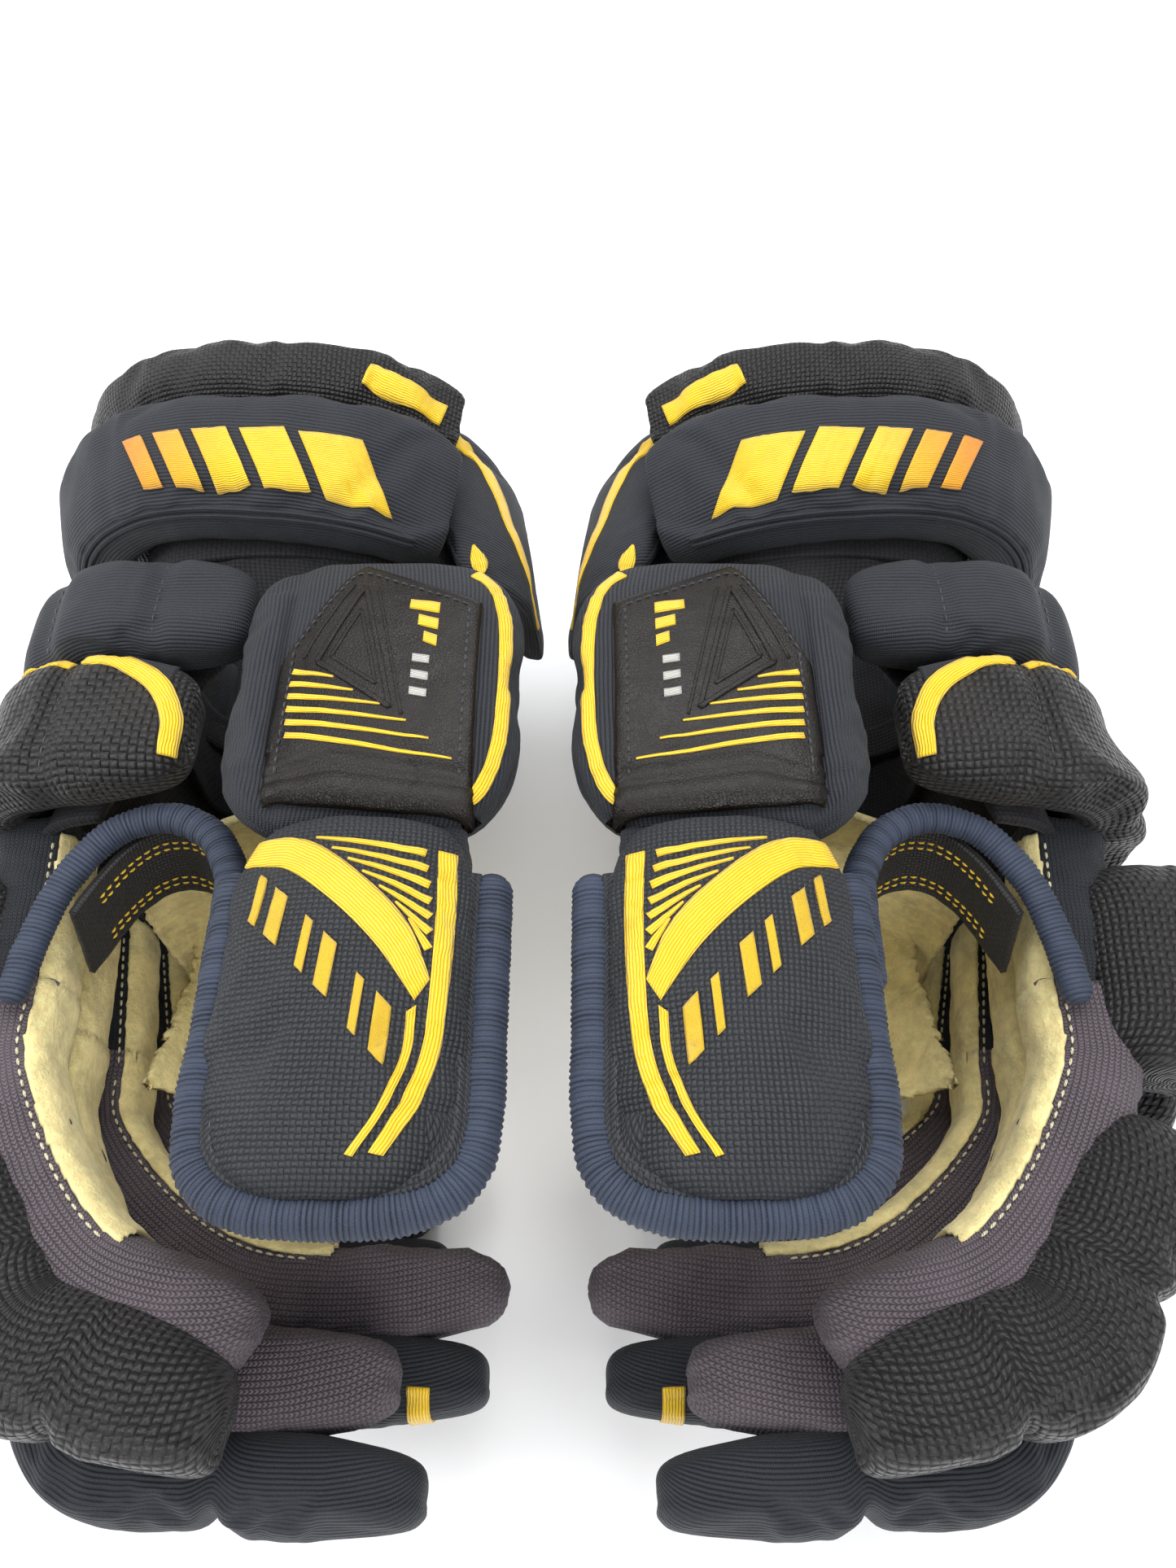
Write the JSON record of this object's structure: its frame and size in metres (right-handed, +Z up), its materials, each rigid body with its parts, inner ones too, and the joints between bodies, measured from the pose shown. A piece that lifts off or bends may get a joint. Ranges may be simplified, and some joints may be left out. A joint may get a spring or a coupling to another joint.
{
  "type": "ice hockey gloves",
  "caption": "Pair of padded ice hockey gloves, curled as if round a stick, with foam rolls, hinged fingers and thumbs, suede palms and open cuffs.",
  "frame": {"origin": "middle of the surface that the pair stands on, halfway between the two gloves", "axes": "+X from the right glove to the left glove, -Y the way the fingers point, +Z up, towards the thumbs"},
  "size_m": [0.355, 0.3406, 0.1579],
  "materials": {
    "navy_fabric": "ribbed polyester",
    "thumb_fabric": "coarse basket-woven nylon",
    "black_mesh": "coarse matte mesh",
    "gusset_knit": "fine matte knit",
    "suede": "napped suede",
    "web_fabric": "stitched nylon",
    "binding_ribbon": "ribbed grosgrain ribbon",
    "moulded_label": "embossed satin",
    "plastic_insert": "smooth",
    "lining": "soft mesh"
  },
  "bodies": {
    "right_hand": {"right_back_liner": "lining", "right_back_roll_upper": "navy_fabric", "right_back_roll_lower": "black_mesh", "right_palm": "suede", "right_web_gusset": "web_fabric", "right_thumb_base_roll": "navy_fabric", "right_label_patch": "moulded_label"},
    "right_cuff": {"right_cuff_roll": "navy_fabric", "right_cuff_end_roll": "black_mesh", "right_cuff_flap": "navy_fabric"},
    "right_thumb": {"right_thumb_pad": "thumb_fabric", "right_thumb_plate": "plastic_insert", "right_thumb_sleeve": "gusset_knit", "right_thumb_binding": "binding_ribbon"},
    "right_index_base": {"right_index_base_roll": "black_mesh", "right_index_base_sleeve": "gusset_knit"},
    "right_index_tip": {"right_index_tip_roll": "black_mesh", "right_index_tip_sleeve": "gusset_knit"},
    "right_middle_base": {"right_middle_base_roll": "black_mesh", "right_middle_base_sleeve": "gusset_knit"},
    "right_middle_tip": {"right_middle_tip_roll": "black_mesh", "right_middle_tip_sleeve": "gusset_knit"},
    "right_ring_base": {"right_ring_base_roll": "black_mesh", "right_ring_base_sleeve": "gusset_knit"},
    "right_ring_tip": {"right_ring_tip_roll": "black_mesh", "right_ring_tip_sleeve": "gusset_knit"},
    "right_little_base": {"right_little_base_roll": "black_mesh", "right_little_base_sleeve": "gusset_knit"},
    "right_little_tip": {"right_little_tip_roll": "black_mesh", "right_little_tip_sleeve": "gusset_knit"},
    "left_hand": {"left_back_liner": "lining", "left_back_roll_upper": "navy_fabric", "left_back_roll_lower": "black_mesh", "left_palm": "suede", "left_web_gusset": "web_fabric", "left_thumb_base_roll": "navy_fabric", "left_label_patch": "moulded_label"},
    "left_cuff": {"left_cuff_roll": "navy_fabric", "left_cuff_end_roll": "black_mesh", "left_cuff_flap": "navy_fabric"},
    "left_thumb": {"left_thumb_pad": "thumb_fabric", "left_thumb_plate": "plastic_insert", "left_thumb_sleeve": "gusset_knit", "left_thumb_binding": "binding_ribbon"},
    "left_index_base": {"left_index_base_roll": "black_mesh", "left_index_base_sleeve": "gusset_knit"},
    "left_index_tip": {"left_index_tip_roll": "black_mesh", "left_index_tip_sleeve": "gusset_knit"},
    "left_middle_base": {"left_middle_base_roll": "black_mesh", "left_middle_base_sleeve": "gusset_knit"},
    "left_middle_tip": {"left_middle_tip_roll": "black_mesh", "left_middle_tip_sleeve": "gusset_knit"},
    "left_ring_base": {"left_ring_base_roll": "black_mesh", "left_ring_base_sleeve": "gusset_knit"},
    "left_ring_tip": {"left_ring_tip_roll": "black_mesh", "left_ring_tip_sleeve": "gusset_knit"},
    "left_little_base": {"left_little_base_roll": "black_mesh", "left_little_base_sleeve": "gusset_knit"},
    "left_little_tip": {"left_little_tip_roll": "black_mesh", "left_little_tip_sleeve": "gusset_knit"}
  },
  "joints": [
    {"name": "right_cuff_bend", "type": "hinge", "parent": "right_hand", "child": "right_cuff", "pos_m": [-0.04, 0.0796, 0.07], "axis": [0, 0, -1], "range_deg": [-5, 15], "stiffness_Nm_per_rad": 1},
    {"name": "right_thumb_bend", "type": "hinge", "parent": "right_hand", "child": "right_thumb", "pos_m": [-0.043, -0.0259, 0.136], "axis": [1, 0, 0], "range_deg": [-5, 12], "stiffness_Nm_per_rad": 1},
    {"name": "right_index_base_bend", "type": "hinge", "parent": "right_hand", "child": "right_index_base", "pos_m": [-0.146, -0.0134, 0.0986], "axis": [0, 0, -1], "range_deg": [-6, 6], "stiffness_Nm_per_rad": 0.3},
    {"name": "right_index_tip_bend", "type": "hinge", "parent": "right_index_base", "child": "right_index_tip", "pos_m": [-0.13994, -0.07109, 0.0986], "axis": [0, 0, -1], "range_deg": [-15, 25], "stiffness_Nm_per_rad": 0.3},
    {"name": "right_middle_base_bend", "type": "hinge", "parent": "right_hand", "child": "right_middle_base", "pos_m": [-0.147, -0.0144, 0.0706], "axis": [0, 0, -1], "range_deg": [-8, 6], "stiffness_Nm_per_rad": 0.3},
    {"name": "right_middle_tip_bend", "type": "hinge", "parent": "right_middle_base", "child": "right_middle_tip", "pos_m": [-0.14052, -0.07606, 0.0706], "axis": [0, 0, -1], "range_deg": [-6, 28], "stiffness_Nm_per_rad": 0.3},
    {"name": "right_ring_base_bend", "type": "hinge", "parent": "right_hand", "child": "right_ring_base", "pos_m": [-0.144, -0.0134, 0.0426], "axis": [0, 0, -1], "range_deg": [-3, 6], "stiffness_Nm_per_rad": 0.3},
    {"name": "right_ring_tip_bend", "type": "hinge", "parent": "right_ring_base", "child": "right_ring_tip", "pos_m": [-0.13393, -0.07052, 0.0426], "axis": [0, 0, -1], "range_deg": [-4, 25], "stiffness_Nm_per_rad": 0.3},
    {"name": "right_little_base_bend", "type": "hinge", "parent": "right_hand", "child": "right_little_base", "pos_m": [-0.14, -0.0104, 0.0146], "axis": [0, 0, -1], "range_deg": [-8, 6], "stiffness_Nm_per_rad": 0.3},
    {"name": "right_little_tip_bend", "type": "hinge", "parent": "right_little_base", "child": "right_little_tip", "pos_m": [-0.1279, -0.05892, 0.0146], "axis": [0, 0, -1], "range_deg": [-10, 25], "stiffness_Nm_per_rad": 0.3},
    {"name": "glove_spacing", "type": "slide", "parent": "right_hand", "child": "left_hand", "axis": [1, 0, 0], "range_m": [0, 0.1]},
    {"name": "left_cuff_bend", "type": "hinge", "parent": "left_hand", "child": "left_cuff", "pos_m": [0.04, 0.0796, 0.07], "axis": [0, 0, 1], "range_deg": [-5, 15], "stiffness_Nm_per_rad": 1},
    {"name": "left_thumb_bend", "type": "hinge", "parent": "left_hand", "child": "left_thumb", "pos_m": [0.043, -0.0259, 0.136], "axis": [1, 0, 0], "range_deg": [-5, 12], "stiffness_Nm_per_rad": 1},
    {"name": "left_index_base_bend", "type": "hinge", "parent": "left_hand", "child": "left_index_base", "pos_m": [0.146, -0.0134, 0.0986], "axis": [0, 0, 1], "range_deg": [-6, 6], "stiffness_Nm_per_rad": 0.3},
    {"name": "left_index_tip_bend", "type": "hinge", "parent": "left_index_base", "child": "left_index_tip", "pos_m": [0.13994, -0.07109, 0.0986], "axis": [0, 0, 1], "range_deg": [-15, 25], "stiffness_Nm_per_rad": 0.3},
    {"name": "left_middle_base_bend", "type": "hinge", "parent": "left_hand", "child": "left_middle_base", "pos_m": [0.147, -0.0144, 0.0706], "axis": [0, 0, 1], "range_deg": [-8, 6], "stiffness_Nm_per_rad": 0.3},
    {"name": "left_middle_tip_bend", "type": "hinge", "parent": "left_middle_base", "child": "left_middle_tip", "pos_m": [0.14052, -0.07606, 0.0706], "axis": [0, 0, 1], "range_deg": [-6, 28], "stiffness_Nm_per_rad": 0.3},
    {"name": "left_ring_base_bend", "type": "hinge", "parent": "left_hand", "child": "left_ring_base", "pos_m": [0.144, -0.0134, 0.0426], "axis": [0, 0, 1], "range_deg": [-3, 6], "stiffness_Nm_per_rad": 0.3},
    {"name": "left_ring_tip_bend", "type": "hinge", "parent": "left_ring_base", "child": "left_ring_tip", "pos_m": [0.13393, -0.07052, 0.0426], "axis": [0, 0, 1], "range_deg": [-4, 25], "stiffness_Nm_per_rad": 0.3},
    {"name": "left_little_base_bend", "type": "hinge", "parent": "left_hand", "child": "left_little_base", "pos_m": [0.14, -0.0104, 0.0146], "axis": [0, 0, 1], "range_deg": [-8, 6], "stiffness_Nm_per_rad": 0.3},
    {"name": "left_little_tip_bend", "type": "hinge", "parent": "left_little_base", "child": "left_little_tip", "pos_m": [0.1279, -0.05892, 0.0146], "axis": [0, 0, 1], "range_deg": [-10, 25], "stiffness_Nm_per_rad": 0.3}
  ]
}
